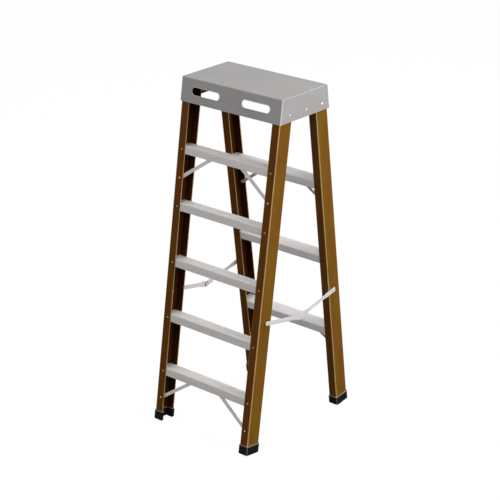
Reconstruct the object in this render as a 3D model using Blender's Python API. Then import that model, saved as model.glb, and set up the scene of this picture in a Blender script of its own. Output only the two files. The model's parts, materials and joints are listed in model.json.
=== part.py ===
"""A folding step ladder with five steps, a braced rear frame and a sheet-metal cap.

Metres, +Z up, +X to the right, +Y to the rear, origin on the floor under the middle of the base.
The front frame and the rear frame are each modelled square in a leaning frame of their own.
"""
import math

import bmesh
import bpy
from mathutils import Matrix, Vector

# Whole ladder
LADDER_HEIGHT = 1.870
RAIL_SPAN = 0.649
FRONT_LEAN = math.radians(8.43)
REAR_LEAN = math.radians(7.52)

# Pultruded channel rails
FRONT_RAIL_DEPTH = 0.0915
REAR_RAIL_DEPTH = 0.0890
FLANGE_WIDTH = 0.0490
RAIL_WALL = 0.0045
RAIL_CORNER = 0.0040
RAIL_FILLET = 0.0015
RAIL_TOP_GAP = 0.0030

# Cap, folded from sheet
CAP_DEPTH = 0.3585
CAP_SKIRT = 0.1270
CAP_SHEET = 0.0025
CAP_CORNER = 0.0045
CAP_SIDE_GAP = 0.0040
CAP_FRONT_GAP = 0.0030
CAP_REAR_GAP = 0.0085
SLOT_LENGTH = 0.1860
SLOT_HEIGHT = 0.0430
SLOT_END_ROOM = 0.0180
SLOT_DROP = 0.0640
SLOT_LIP = 0.0018
SLOT_LIP_DEPTH = 0.0070
PIVOT_DROP = 0.0920
CAP_RIVET_INSET = 0.0640
BRACKET_HALF_HEIGHT = 0.0220

# Steps and rear treads
STEP_COUNT = 5
STEP_PITCH = 0.3048
FIRST_STEP = 0.3135
TREAD_COUNT = 3
TREAD_PITCH = 0.4393
FIRST_TREAD = 0.4778
STEP_SKIRT = 0.0430
STEP_SHEET = 0.0022
STEP_NOSE = 0.0055
STEP_END_GAP = 0.0025
GROOVE_COUNT = 8
GROOVE_WIDTH = 0.0030
GROOVE_DEPTH = 0.0008

# Knee braces
BRACE_WIDTH = 0.0175
BRACE_SHEET = 0.0020
BRACE_RIM = 0.0065
BRACE_RUN = 0.2150
BRACE_DROP = 0.1520
BRACE_PLAIN_END = 0.0240

# Shoes
SHOE_WALL = 0.0050
SHOE_LINER = 0.0060
SHOE_TIP = 0.0020
SHOE_HEIGHT = 0.0490
SHOE_SOLE = 0.0100
SHOE_FACET = 0.0160

# Spreaders
SPREADER_HEIGHT = 0.7130
FRONT_PIN_INSET = 0.0500
REAR_PIN_INSET = 0.0340
KNUCKLE_SAG = 0.0560
FRONT_LINK_WIDTH = 0.0225
REAR_LINK_WIDTH = 0.0195
REAR_LINK_HEEL_WIDTH = 0.0260
REAR_LINK_HEEL = 0.0850
LINK_SHEET = 0.0025
LINK_STANDOFF = 0.0032
LINK_SPACE = 0.0005
LINK_BEAD = 0.0070
LINK_BEAD_RISE = 0.0012
LINK_PLAIN_END = 0.0300
FRONT_KNUCKLE_WIDTH = 0.0330
REAR_KNUCKLE_WIDTH = 0.0300
KNUCKLE_PLATE = 0.0680
KNUCKLE_TAIL = 0.0080
KNUCKLE_CORNER = 0.0030

# Fasteners
RIVET_SHANK = 0.0025
RIVET_HEAD = 0.0048
CAP_RIVET_HEAD = 0.0060
RIVET_DOME = 0.0024
RIVET_TAIL = 0.0045
RIVET_INSET = 0.0283
PIN_SHANK = 0.0040
PIN_HEAD = 0.0085
PIN_SHOULDER = 0.0065
PIN_TAIL = 0.0070
TAIL_HEIGHT = 0.0020
COLLAR = 0.0050
FLAT_HEAD_HEIGHT = 0.0018

# Clearances
FIT_GAP = 0.0003
HOLE_GAP = 0.0003
SMALL_SIDES = 10
ROUND_SIDES = 20
CORNER_STEPS = 3

SIDES = (("left", -1), ("right", 1))
ALONG_X = Matrix(((0, 0, 1), (1, 0, 0), (0, 1, 0))).to_4x4()
FACING_FRONT = Matrix.Rotation(math.radians(90), 4, "X")


# ---------------------------------------------------------------- side view

def lean_place(front_y, lean):
    """A frame on the floor whose Z runs up a leaning rail."""
    return Matrix.Translation((0, front_y, 0)) @ Matrix.Rotation(-lean, 4, "X")


def shoe_bottoms():
    """How far along each rail from the floor line its square shoe bottom lies."""
    front_touch = FRONT_RAIL_DEPTH + SHOE_WALL - SHOE_FACET * math.cos(FRONT_LEAN)
    rear_touch = -SHOE_WALL + SHOE_FACET * math.cos(REAR_LEAN)
    return front_touch * math.tan(FRONT_LEAN), -rear_touch * math.tan(REAR_LEAN)


FRONT_SHOE_BOTTOM, REAR_SHOE_BOTTOM = shoe_bottoms()


def side_view():
    """Where the cap's top front edge, the front rails' feet and the fold axis lie, base centred on Y."""
    front_foot = -LADDER_HEIGHT * math.tan(FRONT_LEAN) + (CAP_SHEET + CAP_FRONT_GAP) / math.cos(FRONT_LEAN)
    rear_inset = (CAP_SHEET + CAP_REAR_GAP + REAR_RAIL_DEPTH / 2) / math.cos(REAR_LEAN)
    pivot = CAP_DEPTH + PIVOT_DROP * math.tan(REAR_LEAN) - rear_inset
    pivot_z = LADDER_HEIGHT - PIVOT_DROP
    rear_foot = pivot + pivot_z * math.tan(REAR_LEAN) - REAR_RAIL_DEPTH / 2 / math.cos(REAR_LEAN)
    foremost = front_foot + FRONT_SHOE_BOTTOM * math.sin(FRONT_LEAN) - SHOE_WALL * math.cos(FRONT_LEAN)
    rearmost = rear_foot - REAR_SHOE_BOTTOM * math.sin(REAR_LEAN)
    rearmost += (REAR_RAIL_DEPTH + SHOE_WALL) * math.cos(REAR_LEAN)
    shift = -(foremost + rearmost) / 2
    return shift, front_foot + shift, Vector((0, pivot + shift, pivot_z))


CAP_FRONT_Y, FRONT_FOOT_Y, PIVOT = side_view()
HALF_SPAN = RAIL_SPAN / 2
# From a flange's outer face to the braces, which lie just inside the steps' skirts.
BRACE_SEAT = RAIL_WALL + FIT_GAP + STEP_SHEET + FIT_GAP
FRONT_PLACE = lean_place(FRONT_FOOT_Y, FRONT_LEAN)
REAR_PLACE = Matrix.Translation(PIVOT) @ Matrix.Rotation(REAR_LEAN, 4, "X")
# Along the rear rail, from the floor line up to the fold axis.
PIVOT_RISE = (PIVOT.z - REAR_RAIL_DEPTH / 2 * math.sin(REAR_LEAN)) / math.cos(REAR_LEAN)


def front_point(inset, height):
    """World place of a point in the front rails, at a depth from their front face and a height."""
    rise = (height + inset * math.sin(FRONT_LEAN)) / math.cos(FRONT_LEAN)
    return FRONT_PLACE @ Vector((0, inset, rise))


def rear_point(inset, height):
    """World place of a point in the rear rails, at a depth from their front face and a height."""
    depth = inset - REAR_RAIL_DEPTH / 2
    rise = (height - PIVOT.z - depth * math.sin(REAR_LEAN)) / math.cos(REAR_LEAN)
    return REAR_PLACE @ Vector((0, depth, rise))


FRONT_PIN = front_point(FRONT_PIN_INSET, SPREADER_HEIGHT)
REAR_PIN = rear_point(REAR_PIN_INSET, SPREADER_HEIGHT)
KNUCKLE = (FRONT_PIN + REAR_PIN) / 2 - Vector((0, 0, KNUCKLE_SAG))
CAP_RIVET = front_point(CAP_RIVET_INSET, PIVOT.z)


# ---------------------------------------------------------------- outlines

def arc(centre, radius, start, end, steps):
    """Points on an arc, angles in radians."""
    turns = [start + (end - start) * i / steps for i in range(steps + 1)]
    return [(centre[0] + radius * math.cos(a), centre[1] + radius * math.sin(a)) for a in turns]


def rounded(corners, radii, steps=CORNER_STEPS):
    """A polygon with each corner rounded to its radius, or left sharp where the radius is 0."""
    outline = []
    for i, corner in enumerate(corners):
        here = Vector(corner)
        before = (Vector(corners[i - 1]) - here).normalized()
        after = (Vector(corners[(i + 1) % len(corners)]) - here).normalized()
        if radii[i] == 0:
            outline.append(tuple(here))
            continue
        half = before.angle(after) / 2
        centre = here + (before + after).normalized() * radii[i] / math.sin(half)
        first = here + before * radii[i] / math.tan(half) - centre
        start = math.atan2(first.y, first.x)
        sweep = math.copysign(math.pi - 2 * half, after.cross(before))
        outline += arc(centre, radii[i], start, start + sweep, steps)
    return outline


def slot_outline(length, height, sides=ROUND_SIDES):
    """A straight slot with round ends, centred on the origin."""
    radius = height / 2
    reach = length / 2 - radius
    right = arc((reach, 0), radius, -math.pi / 2, math.pi / 2, sides // 2)
    left = arc((-reach, 0), radius, math.pi / 2, 3 * math.pi / 2, sides // 2)
    return right + left


def channel_outline(web, tip, front, rear, wall, corner, fillet):
    """A channel open towards -X: its web's outer face, flange tips, front face and rear face."""
    corners = [(web, front), (web, rear), (tip, rear), (tip, rear - wall)]
    corners += [(web - wall, rear - wall), (web - wall, front + wall), (tip, front + wall), (tip, front)]
    return rounded(corners, [corner, corner, 0, 0, fillet, fillet, 0, 0])


def mirrored(outline, side):
    """An outline for the right side turned over for the left one."""
    return outline if side > 0 else [(-x, y) for x, y in reversed(outline)]


def step_outline(depth):
    """A grooved step's section: flat top, rounded noses and two skirts, open below."""
    half = depth / 2
    inner = half - STEP_SHEET
    nose = arc((half - STEP_NOSE, -STEP_NOSE), STEP_NOSE, 0, math.pi / 2, CORNER_STEPS)
    tail = arc((-half + STEP_NOSE, -STEP_NOSE), STEP_NOSE, math.pi / 2, math.pi, CORNER_STEPS)
    pitch = (depth - 2 * STEP_NOSE) / GROOVE_COUNT
    grooves = []
    for i in range(GROOVE_COUNT):
        middle = half - STEP_NOSE - pitch * (i + 0.5)
        low = GROOVE_WIDTH / 2 - GROOVE_DEPTH
        grooves += [(middle + GROOVE_WIDTH / 2, 0), (middle + low, -GROOVE_DEPTH)]
        grooves += [(middle - low, -GROOVE_DEPTH), (middle - GROOVE_WIDTH / 2, 0)]
    under = -STEP_SHEET - GROOVE_DEPTH
    bend = STEP_NOSE - STEP_SHEET
    lower = rounded([(-inner, -STEP_SKIRT), (-inner, under), (inner, under), (inner, -STEP_SKIRT)],
                    [0, bend, bend, 0])
    return [(half, -STEP_SKIRT)] + nose + grooves + tail + [(-half, -STEP_SKIRT)] + lower


def knuckle_outline(length, half, wide, ramp):
    """The knuckle end of a link, which flares over a ramp from its bar to a wide square-cut plate."""
    end = length + KNUCKLE_TAIL
    flare = end - KNUCKLE_PLATE
    corners = [(flare, -half), (flare + ramp, -wide), (end, -wide), (end, wide), (flare + ramp, wide)]
    return rounded(corners + [(flare, half)], [0, 0, KNUCKLE_CORNER, KNUCKLE_CORNER, 0, 0])


def front_link_outline(length):
    """The front link: a bar from its round end at the rail pin to a slowly flaring knuckle."""
    half = FRONT_LINK_WIDTH / 2
    knuckle = knuckle_outline(length, half, FRONT_KNUCKLE_WIDTH / 2, KNUCKLE_PLATE / 2)
    return knuckle + arc((0, 0), half, math.pi / 2, 3 * math.pi / 2, SMALL_SIDES)


def rear_link_outline(length):
    """The rear link: a wide square-cut heel at the rail pin, a narrow bar and a knuckle plate."""
    half = REAR_LINK_WIDTH / 2
    heel = REAR_LINK_HEEL_WIDTH / 2
    knuckle = knuckle_outline(length, half, REAR_KNUCKLE_WIDTH / 2, KNUCKLE_TAIL)
    taper = [(REAR_LINK_HEEL, half), (REAR_LINK_HEEL - 2 * heel, heel), (-heel, heel)]
    return knuckle + taper + [(x, -y) for x, y in reversed(taper)]


# ---------------------------------------------------------------- solids

def add_prism(bm, outline, low, high, place=Matrix.Identity(4)):
    """Adds an upright prism with this outline to the mesh."""
    base = [bm.verts.new(place @ Vector((x, y, low))) for x, y in outline]
    face = bm.faces.new(base)
    moved = bmesh.ops.extrude_face_region(bm, geom=[face])["geom"]
    up = place.to_3x3() @ Vector((0, 0, high - low))
    bmesh.ops.translate(bm, vec=up, verts=[v for v in moved if isinstance(v, bmesh.types.BMVert)])
    return bm


def prism(outline, low, high, place=Matrix.Identity(4)):
    """A new mesh that holds one prism."""
    return add_prism(bmesh.new(), outline, low, high, place)


def turned(profile, sides):
    """A solid of revolution about Z from a profile that runs from pole to pole."""
    bm = bmesh.new()
    rim = [bm.verts.new((radius, 0, height)) for radius, height in profile]
    edges = [bm.edges.new(pair) for pair in zip(rim, rim[1:])]
    bmesh.ops.spin(bm, geom=rim + edges, cent=(0, 0, 0), axis=(0, 0, 1), angle=2 * math.pi, steps=sides,
                   use_merge=True)
    bmesh.ops.remove_doubles(bm, verts=bm.verts, dist=1e-6)
    return bm


def dome(radius, height, base, steps=CORNER_STEPS):
    """Profile of a shallow domed head, from its top to its rim."""
    ball = (radius ** 2 + height ** 2) / (2 * height)
    spread = math.asin(radius / ball)
    centre = base + height - ball
    return [(ball * math.sin(spread * i / steps), centre + ball * math.cos(spread * i / steps))
            for i in range(steps + 1)]


def clearance_hole(bm, centre, axis, radius, length, sides=SMALL_SIDES):
    """Adds a round cutter, longer than the wall that it goes through."""
    turn = axis.to_track_quat("Z", "Y").to_matrix().to_4x4()
    ring = arc((0, 0), radius + HOLE_GAP, 0, 2 * math.pi, sides)[:-1]
    add_prism(bm, ring, -length / 2, length / 2, Matrix.Translation(centre) @ turn)


# ---------------------------------------------------------------- objects

def clear_scene():
    """Starts from an empty scene."""
    for obj in list(bpy.data.objects):
        bpy.data.objects.remove(obj, do_unlink=True)


def finish_material(name, colour, roughness, metallic):
    """A plain finish."""
    made = bpy.data.materials.new(name)
    made.use_nodes = True
    shader = made.node_tree.nodes["Principled BSDF"]
    shader.inputs["Base Color"].default_value = (*colour, 1)
    shader.inputs["Roughness"].default_value = roughness
    shader.inputs["Metallic"].default_value = metallic
    return made


def add_object(name, bm, parent, place):
    """Makes an object of the mesh, placed in its parent's frame."""
    bmesh.ops.recalc_face_normals(bm, faces=bm.faces)
    mesh = bpy.data.meshes.new(name)
    bm.to_mesh(mesh)
    bm.free()
    obj = bpy.data.objects.new(name, mesh)
    bpy.context.scene.collection.objects.link(obj)
    obj.parent = parent
    obj.matrix_basis = place
    return obj


def add_part(name, bm, finish, parent, place=Matrix.Identity(4)):
    """A sub-part with its own finish, shaded smooth over its curves."""
    obj = add_object(name, bm, parent, place)
    obj.data.materials.append(finish_material(name + "_finish", *finish))
    obj.data.shade_smooth()
    obj.data.set_sharp_from_angle(angle=math.radians(35))
    return obj


def combine(part, bm, operation="DIFFERENCE"):
    """Cuts a helper mesh, in the part's own frame, out of the part, or joins it on."""
    helper = add_object(f"{part.name}_{operation.lower()}_{len(part.modifiers)}", bm, part.parent,
                        part.matrix_basis)
    helper.hide_render = True
    helper.display_type = "WIRE"
    boolean = part.modifiers.new(operation.lower(), "BOOLEAN")
    boolean.operation = operation
    boolean.object = helper


def add_frame(name, place):
    """An empty that carries one of the ladder's frames."""
    frame = bpy.data.objects.new(name, None)
    frame.matrix_basis = place
    bpy.context.scene.collection.objects.link(frame)
    return frame


FIBREGLASS = ((0.195, 0.096, 0.018), 0.42, 0.0)
CAP_PAINT = ((0.40, 0.40, 0.39), 0.45, 0.0)
ALUMINIUM = ((0.62, 0.61, 0.59), 0.38, 0.9)
BRIGHT_STEEL = ((0.72, 0.70, 0.66), 0.25, 1.0)
RUBBER = ((0.012, 0.012, 0.013), 0.65, 0.0)


# ---------------------------------------------------------------- cap

def cap_block(inset):
    """The cap's solid form, its faces set in by this much, open-ended below when set in."""
    half = HALF_SPAN + CAP_SIDE_GAP + CAP_SHEET - inset
    low = -CAP_SKIRT - inset
    front = [inset / math.cos(FRONT_LEAN) + z * math.tan(FRONT_LEAN) for z in (-inset, low)]
    rear = [CAP_DEPTH - inset / math.cos(REAR_LEAN) - z * math.tan(REAR_LEAN) for z in (-inset, low)]
    outline = [(front[1], low), (rear[1], low), (rear[0], -inset), (front[0], -inset)]
    bm = prism(outline, -half, half, ALONG_X)
    folds = [e for e in bm.edges if max(v.co.z for v in e.verts) > low / 2]
    bmesh.ops.bevel(bm, geom=folds, offset=CAP_CORNER - inset, segments=CORNER_STEPS, profile=0.5,
                    affect="EDGES", clamp_overlap=True)
    return bm


def slot_places():
    """Frames on the front skirt's outer face, one at each slot's middle, their Z pointing to the rear."""
    skirt = Matrix.Rotation(-FRONT_LEAN, 4, "X") @ Matrix.Rotation(math.radians(-90), 4, "X")
    shift = Matrix.Translation
    middle = HALF_SPAN - FLANGE_WIDTH - SLOT_END_ROOM - SLOT_LENGTH / 2
    return [skirt @ shift((side * middle, SLOT_DROP, 0)) for _, side in SIDES]


def build_cap():
    """The sheet-metal cap with its two lipped hand slots and its side rivet holes."""
    place = Matrix.Translation((0, CAP_FRONT_Y, LADDER_HEIGHT))
    cap = add_part("top_cap", cap_block(0), CAP_PAINT, None, place)
    combine(cap, cap_block(CAP_SHEET))
    lips = bmesh.new()
    holes = bmesh.new()
    rim = slot_outline(SLOT_LENGTH + 2 * SLOT_LIP, SLOT_HEIGHT + 2 * SLOT_LIP)
    for slot in slot_places():
        add_prism(lips, rim, CAP_SHEET / 2, SLOT_LIP_DEPTH, slot)
        add_prism(holes, slot_outline(SLOT_LENGTH, SLOT_HEIGHT), -CAP_SHEET, 2 * SLOT_LIP_DEPTH, slot)
    side_face = HALF_SPAN + CAP_SIDE_GAP + CAP_SHEET / 2
    for point, radius in cap_fixings():
        for _, side in SIDES:
            centre = Vector((side * side_face, point.y, point.z)) - place.translation
            clearance_hole(holes, centre, Vector((1, 0, 0)), radius, 4 * CAP_SHEET)
    combine(cap, lips, "UNION")
    combine(cap, holes)


def cap_fixings():
    """Side-view places and shank sizes of the cap's front rivet, middle rivet and fold pin."""
    middle = (CAP_RIVET + PIVOT) / 2
    return [(CAP_RIVET, RIVET_SHANK), (middle, RIVET_SHANK), (PIVOT, PIN_SHANK)]


def build_brackets():
    """Flat plates between the cap's sides and the rails, which carry the fold axis."""
    thickness = CAP_SIDE_GAP - 2 * FIT_GAP
    length = PIVOT.y - CAP_RIVET.y
    outline = slot_outline(length + 2 * BRACKET_HALF_HEIGHT, 2 * BRACKET_HALF_HEIGHT)
    for name, side in SIDES:
        middle = (CAP_RIVET + PIVOT) / 2 + Vector((side * (HALF_SPAN + CAP_SIDE_GAP / 2), 0, 0))
        place = Matrix.Translation(middle)
        body = prism(outline, -thickness / 2, thickness / 2, ALONG_X)
        bracket = add_part(f"cap_bracket_{name}", body, ALUMINIUM, None, place)
        holes = bmesh.new()
        for point, radius in cap_fixings():
            centre = Vector((0, point.y - middle.y, point.z - middle.z))
            clearance_hole(holes, centre, Vector((1, 0, 0)), radius, 4 * thickness)
        combine(bracket, holes)


# ---------------------------------------------------------------- rails

def step_rises(first, pitch, count):
    """Distances along the rail of the steps' tops."""
    return [first + pitch * i for i in range(count)]


def rivet_rise(top):
    """Along the rail, a step's rivets sit half-way down its skirt."""
    return top - STEP_SKIRT / 2


def flange_holes(bm, side, rises, face):
    """Holes for the rivets that go through one flange."""
    for rise in rises:
        centre = Vector((-side * RIVET_INSET, face, rise))
        clearance_hole(bm, centre, Vector((0, 1, 0)), RIVET_SHANK, 3 * RAIL_WALL)


def web_hole(bm, centre, radius):
    """A hole through the web."""
    clearance_hole(bm, centre, Vector((1, 0, 0)), radius, 4 * RAIL_WALL)


def braced(tops):
    """Along the rail, the rivets at the lower ends of the braces under the lowest and highest step."""
    return [rivet_rise(top) - BRACE_DROP for top in (tops[0], tops[-1])]


def build_front_rails(frame):
    """Front channels, open sides inwards, square cut at both ends."""
    tops = step_rises(FIRST_STEP, STEP_PITCH, STEP_COUNT)
    bottom = FRONT_SHOE_BOTTOM + SHOE_SOLE
    top = (LADDER_HEIGHT - CAP_SHEET - RAIL_TOP_GAP) / math.cos(FRONT_LEAN)
    outline = channel_outline(0, -FLANGE_WIDTH, 0, FRONT_RAIL_DEPTH, RAIL_WALL, RAIL_CORNER, RAIL_FILLET)
    to_local = FRONT_PLACE.inverted()
    for name, side in SIDES:
        place = Matrix.Translation((side * HALF_SPAN, 0, 0))
        channel = prism(mirrored(outline, side), bottom, top)
        rail = add_part(f"front_rail_{name}", channel, FIBREGLASS, frame, place)
        holes = bmesh.new()
        rivets = [rivet_rise(t) for t in tops]
        flange_holes(holes, side, rivets + braced(tops), 0)
        flange_holes(holes, side, rivets, FRONT_RAIL_DEPTH)
        web_hole(holes, to_local @ FRONT_PIN, PIN_SHANK)
        web_hole(holes, to_local @ CAP_RIVET, RIVET_SHANK)
        combine(rail, holes)


def build_rear_rails(frame):
    """Rear channels, rounded at the top about the fold axis."""
    tops = [t - PIVOT_RISE for t in step_rises(FIRST_TREAD, TREAD_PITCH, TREAD_COUNT)]
    bottom = REAR_SHOE_BOTTOM + SHOE_SOLE - PIVOT_RISE
    half = REAR_RAIL_DEPTH / 2
    outline = channel_outline(0, -FLANGE_WIDTH, -half, half, RAIL_WALL, RAIL_CORNER, RAIL_FILLET)
    reach = FLANGE_WIDTH * 2
    over = arc((0, 0), half - FIT_GAP, 0, math.pi, ROUND_SIDES // 2)
    trim = [(half + RAIL_WALL, 0)] + over + [(-half - RAIL_WALL, 0), (-half - RAIL_WALL, 2 * half)]
    trim += [(half + RAIL_WALL, 2 * half)]
    for name, side in SIDES:
        place = Matrix.Translation((side * HALF_SPAN, 0, 0))
        channel = prism(mirrored(outline, side), bottom, half)
        rail = add_part(f"rear_rail_{name}", channel, FIBREGLASS, frame, place)
        combine(rail, prism(trim, -reach, reach, ALONG_X))
        holes = bmesh.new()
        rivets = [rivet_rise(t) for t in tops]
        flange_holes(holes, side, rivets, -half)
        flange_holes(holes, side, rivets + braced(tops), half)
        web_hole(holes, REAR_PLACE.inverted() @ REAR_PIN, PIN_SHANK)
        web_hole(holes, Vector((0, 0, 0)), PIN_SHANK)
        combine(rail, holes)


# ---------------------------------------------------------------- steps and braces

def build_step(name, frame, middle, depth, top, braced_side):
    """One grooved channel step between the webs; braced_side is the skirt with brace holes, or 0."""
    section = depth - 2 * RAIL_WALL - 2 * FIT_GAP
    half_length = HALF_SPAN - RAIL_WALL - STEP_END_GAP
    body = prism(step_outline(section), -half_length, half_length, ALONG_X)
    step = add_part(name, body, ALUMINIUM, frame, Matrix.Translation((0, middle, top)))
    holes = bmesh.new()
    for face in (-1, 1):
        rows = [HALF_SPAN - RIVET_INSET]
        if face == braced_side:
            rows.append(HALF_SPAN - RIVET_INSET - BRACE_RUN)
        for row in rows:
            for _, side in SIDES:
                centre = Vector((side * row, face * section / 2, -STEP_SKIRT / 2))
                clearance_hole(holes, centre, Vector((0, 1, 0)), RIVET_SHANK, 4 * STEP_SHEET)
    combine(step, holes)


def build_brace(name, frame, foot, head, into):
    """A rimmed strip from its foot on a rail to its head inside a skirt; into is the way its rims point."""
    along = (head - foot).normalized()
    length = (head - foot).length
    depth = (into - into.dot(along) * along).normalized()
    across = depth.cross(along)
    place = Matrix((along, across, depth)).transposed().to_4x4()
    place.translation = foot
    strip = slot_outline(length + BRACE_WIDTH, BRACE_WIDTH, SMALL_SIDES)
    centred = Matrix.Translation((length / 2, 0, 0))
    brace = add_part(name, prism(strip, 0, BRACE_SHEET, centred), ALUMINIUM, frame, place)
    rims = bmesh.new()
    edge = BRACE_WIDTH / 2 - FIT_GAP / 3
    for side in (-1, 1):
        ends = (BRACE_PLAIN_END, length - BRACE_PLAIN_END)
        rim = [(ends[0], side * (edge - BRACE_SHEET)), (ends[1], side * (edge - BRACE_SHEET))]
        rim += [(ends[1], side * edge), (ends[0], side * edge)]
        add_prism(rims, rim, BRACE_SHEET / 2, BRACE_RIM)
    combine(brace, rims, "UNION")
    holes = bmesh.new()
    for at in (0, length):
        clearance_hole(holes, Vector((at, 0, 0)), Vector((0, 0, 1)), RIVET_SHANK, 4 * BRACE_SHEET)
    combine(brace, holes)


def build_braces(prefix, frame, flange, tops, into):
    """Four braces under the lowest and highest step, behind one flange and one row of skirts."""
    way = Vector((0, into, 0))
    seat = flange + into * BRACE_SEAT
    for level, top in (("lower", tops[0]), ("upper", tops[-1])):
        rise = rivet_rise(top)
        for name, side in SIDES:
            outer = side * (HALF_SPAN - RIVET_INSET)
            inner = outer - side * BRACE_RUN
            foot = Vector((outer, seat, rise - BRACE_DROP))
            head = Vector((inner, seat, rise))
            build_brace(f"{prefix}_brace_{level}_{name}", frame, foot, head, way)


def build_front_steps(frame):
    """Five steps in the front frame, with braces behind its front flanges."""
    tops = step_rises(FIRST_STEP, STEP_PITCH, STEP_COUNT)
    for i, top in enumerate(tops):
        skirt = -1 if top in (tops[0], tops[-1]) else 0
        build_step(f"front_step_{i + 1}", frame, FRONT_RAIL_DEPTH / 2, FRONT_RAIL_DEPTH, top, skirt)
    build_braces("front", frame, 0, tops, 1)


def build_rear_treads(frame):
    """Three treads in the rear frame, with braces in front of its rear flanges."""
    tops = [t - PIVOT_RISE for t in step_rises(FIRST_TREAD, TREAD_PITCH, TREAD_COUNT)]
    for i, top in enumerate(tops):
        skirt = 1 if top in (tops[0], tops[-1]) else 0
        build_step(f"rear_tread_{i + 1}", frame, 0, REAR_RAIL_DEPTH, top, skirt)
    build_braces("rear", frame, REAR_RAIL_DEPTH / 2, tops, -1)


# ---------------------------------------------------------------- shoes

def build_shoes(prefix, frame, front, rear, bottom, floor_point, floor_normal):
    """Channel-shaped shoes that grip the rail ends and stand on a level facet."""
    wall = SHOE_WALL + RAIL_WALL + SHOE_LINER
    body = channel_outline(SHOE_WALL, -FLANGE_WIDTH - SHOE_TIP, front - SHOE_WALL, rear + SHOE_WALL, wall,
                           RAIL_CORNER + SHOE_WALL, RAIL_FILLET)
    pocket = channel_outline(FIT_GAP, -FLANGE_WIDTH - FIT_GAP, front - FIT_GAP, rear + FIT_GAP,
                             RAIL_WALL + 2 * FIT_GAP, RAIL_CORNER + FIT_GAP, RAIL_FILLET - FIT_GAP)
    for name, side in SIDES:
        bm = prism(mirrored(body, side), bottom, bottom + SHOE_HEIGHT)
        everything = bm.verts[:] + bm.edges[:] + bm.faces[:]
        cut = bmesh.ops.bisect_plane(bm, geom=everything, plane_co=floor_point, plane_no=floor_normal,
                                     clear_inner=True)["geom_cut"]
        bmesh.ops.holes_fill(bm, edges=[e for e in cut if isinstance(e, bmesh.types.BMEdge)])
        place = Matrix.Translation((side * HALF_SPAN, 0, 0))
        shoe = add_part(f"{prefix}_shoe_{name}", bm, RUBBER, frame, place)
        low = bottom + SHOE_SOLE - FIT_GAP
        combine(shoe, prism(mirrored(pocket, side), low, bottom + 2 * SHOE_HEIGHT))


def build_all_shoes(front_frame, rear_frame):
    """Shoes of both frames."""
    up = Vector((0, 0, 1))
    build_shoes("front", front_frame, 0, FRONT_RAIL_DEPTH, FRONT_SHOE_BOTTOM, Vector((0, 0, 0)),
                FRONT_PLACE.to_3x3().transposed() @ up)
    half = REAR_RAIL_DEPTH / 2
    build_shoes("rear", rear_frame, -half, half, REAR_SHOE_BOTTOM - PIVOT_RISE,
                Vector((0, -half, -PIVOT_RISE)), REAR_PLACE.to_3x3().transposed() @ up)


# ---------------------------------------------------------------- spreaders

def link_plane(outer):
    """How far the link's inner face stands off the web."""
    return LINK_STANDOFF + (LINK_SHEET + LINK_SPACE if outer else 0)


def build_link(name, parent, parent_place, side, pin, outer):
    """A spreader link from its rail pin to the knuckle; the inner one has the plate."""
    length = (KNUCKLE - pin).length
    along = (KNUCKLE - pin).normalized()
    out = Vector((side, 0, 0))
    turn = Matrix((along, out.cross(along), out)).transposed().to_4x4()
    web_face = Vector((side * HALF_SPAN, 0, 0))
    place = Matrix.Translation(pin + web_face) @ turn
    low = link_plane(outer)
    outline = front_link_outline(length) if outer else rear_link_outline(length)
    body = prism(outline, low, low + LINK_SHEET)
    link = add_part(name, body, ALUMINIUM, parent, parent_place.inverted() @ place)
    bead_length = length - LINK_PLAIN_END - KNUCKLE_PLATE
    middle = Matrix.Translation((LINK_PLAIN_END + bead_length / 2, 0, 0))
    ridge = slot_outline(bead_length, LINK_BEAD, SMALL_SIDES)
    groove = slot_outline(bead_length - 2 * LINK_BEAD_RISE, LINK_BEAD - 2 * LINK_BEAD_RISE, SMALL_SIDES)
    rise = LINK_BEAD_RISE
    if outer:
        ridge_span = (low + LINK_SHEET / 2, low + LINK_SHEET + rise)
        groove_span = (low - rise, low + rise)
    else:
        ridge_span = (low - rise, low + LINK_SHEET / 2)
        groove_span = (low + LINK_SHEET - rise, low + LINK_SHEET + rise)
    combine(link, prism(ridge, *ridge_span, middle), "UNION")
    cuts = prism(groove, *groove_span, middle)
    for at, radius in ((0, PIN_SHANK), (length, PIN_SHANK)):
        centre = Vector((at, 0, low + LINK_SHEET / 2))
        clearance_hole(cuts, centre, Vector((0, 0, 1)), radius, 4 * LINK_SHEET)
    combine(link, cuts)


def build_rail_pin(name, parent, parent_place, side, pin, outer):
    """A shouldered rivet through the web, on which a link turns; Z runs outwards from the web's face."""
    low = link_plane(outer)
    head = low + LINK_SHEET + FIT_GAP
    profile = dome(PIN_HEAD, RIVET_DOME, head)
    profile += [(PIN_SHANK, head), (PIN_SHANK, low - FIT_GAP), (PIN_SHOULDER, low - FIT_GAP)]
    profile += [(PIN_SHOULDER, FIT_GAP), (PIN_SHANK, FIT_GAP), (PIN_SHANK, -RAIL_WALL - FIT_GAP)]
    profile += [(PIN_TAIL, -RAIL_WALL - FIT_GAP), (PIN_TAIL, -RAIL_WALL - FIT_GAP - TAIL_HEIGHT)]
    profile += [(0, -RAIL_WALL - FIT_GAP - TAIL_HEIGHT)]
    place = outward_place(side, pin + Vector((side * HALF_SPAN, 0, 0)))
    add_part(name, turned(profile, 2 * SMALL_SIDES), BRIGHT_STEEL, parent, parent_place.inverted() @ place)


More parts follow.
